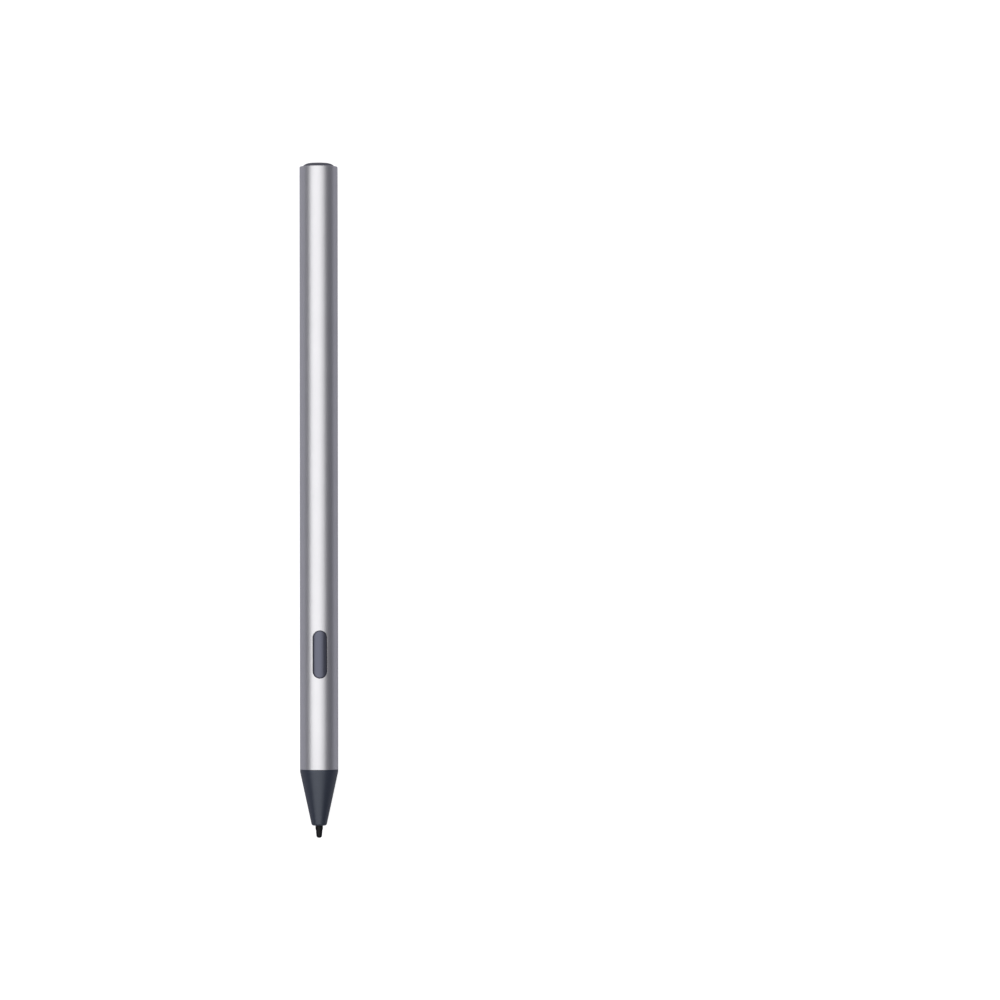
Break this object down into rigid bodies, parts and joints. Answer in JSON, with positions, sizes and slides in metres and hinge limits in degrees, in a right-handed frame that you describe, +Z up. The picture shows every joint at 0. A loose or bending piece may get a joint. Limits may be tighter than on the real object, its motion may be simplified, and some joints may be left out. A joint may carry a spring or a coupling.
{
  "type": "digital stylus pen",
  "caption": "Slim round stylus with a tapered nose, sliding pressure nib, side push button, domed end cap and a magnetic rest flat.",
  "frame": {"origin": "under the middle of the pen's length, on the surface that its flat rests on", "axes": "+X along the pen towards the nib, +Z up through the side button, +Y completes the right-handed frame"},
  "size_m": [0.1576, 0.0088, 0.0087],
  "materials": {
    "anodised_aluminium": "bead-blasted, clear anodised",
    "cone_plastic": "fine moulded texture",
    "nib_plastic": "smooth, hard",
    "button_plastic": "satin",
    "cap_finish": "satin",
    "black_rubber": "moulded",
    "ferrite": "sintered",
    "copper": "enamelled wire",
    "ceramic": "fired ceramic",
    "brass": "stamped sheet",
    "steel": "bright",
    "inner_plastic": "moulded",
    "board_laminate": "lacquered",
    "chip_resin": "moulded",
    "nickel_magnet": "nickel plated",
    "foam": "open-cell foam"
  },
  "bodies": {
    "pen_body": {"barrel": "anodised_aluminium", "nose_cone": "cone_plastic", "end_cap": "cap_finish", "front_cushion": "black_rubber", "ferrite_core": "ferrite", "coil_winding": "copper", "coil_leads": "copper", "sensor_housing": "inner_plastic", "contact_spring": "steel", "dielectric_disc": "ceramic", "sensor_terminal": "brass", "circuit_carrier": "inner_plastic", "circuit_board": "board_laminate", "board_screws": "steel", "control_chip": "chip_resin", "tuning_capacitors": "ceramic", "switch_body": "inner_plastic", "switch_dome": "steel", "switch_cover": "steel", "magnet_carrier": "inner_plastic", "front_magnet": "nickel_magnet", "middle_magnet": "nickel_magnet", "rear_magnet": "nickel_magnet", "front_spacer": "foam", "rear_spacer": "foam", "cone_seal": "black_rubber", "cap_seal": "black_rubber"},
    "nib_seat": {"nib_holder": "inner_plastic", "pressure_rubber": "black_rubber"},
    "nib": {"nib": "nib_plastic"},
    "side_button": {"button": "button_plastic", "button_pad": "black_rubber", "switch_stem": "inner_plastic"}
  },
  "joints": [
    {"name": "nib_press", "type": "slide", "parent": "pen_body", "child": "nib_seat", "axis": [-1, 0, 0], "range_m": [0, 0.0003], "stiffness_N_per_m": 6000, "springref_m": -0.0001, "deforming": ["contact_spring"]},
    {"name": "nib_pull_out", "type": "slide", "parent": "nib_seat", "child": "nib", "axis": [1, 0, 0], "range_m": [0, 0.03]},
    {"name": "button_press", "type": "slide", "parent": "pen_body", "child": "side_button", "axis": [0, 0, -1], "range_m": [0, 0.00025], "stiffness_N_per_m": 6000, "springref_m": -0.0001, "deforming": ["switch_dome"]}
  ]
}
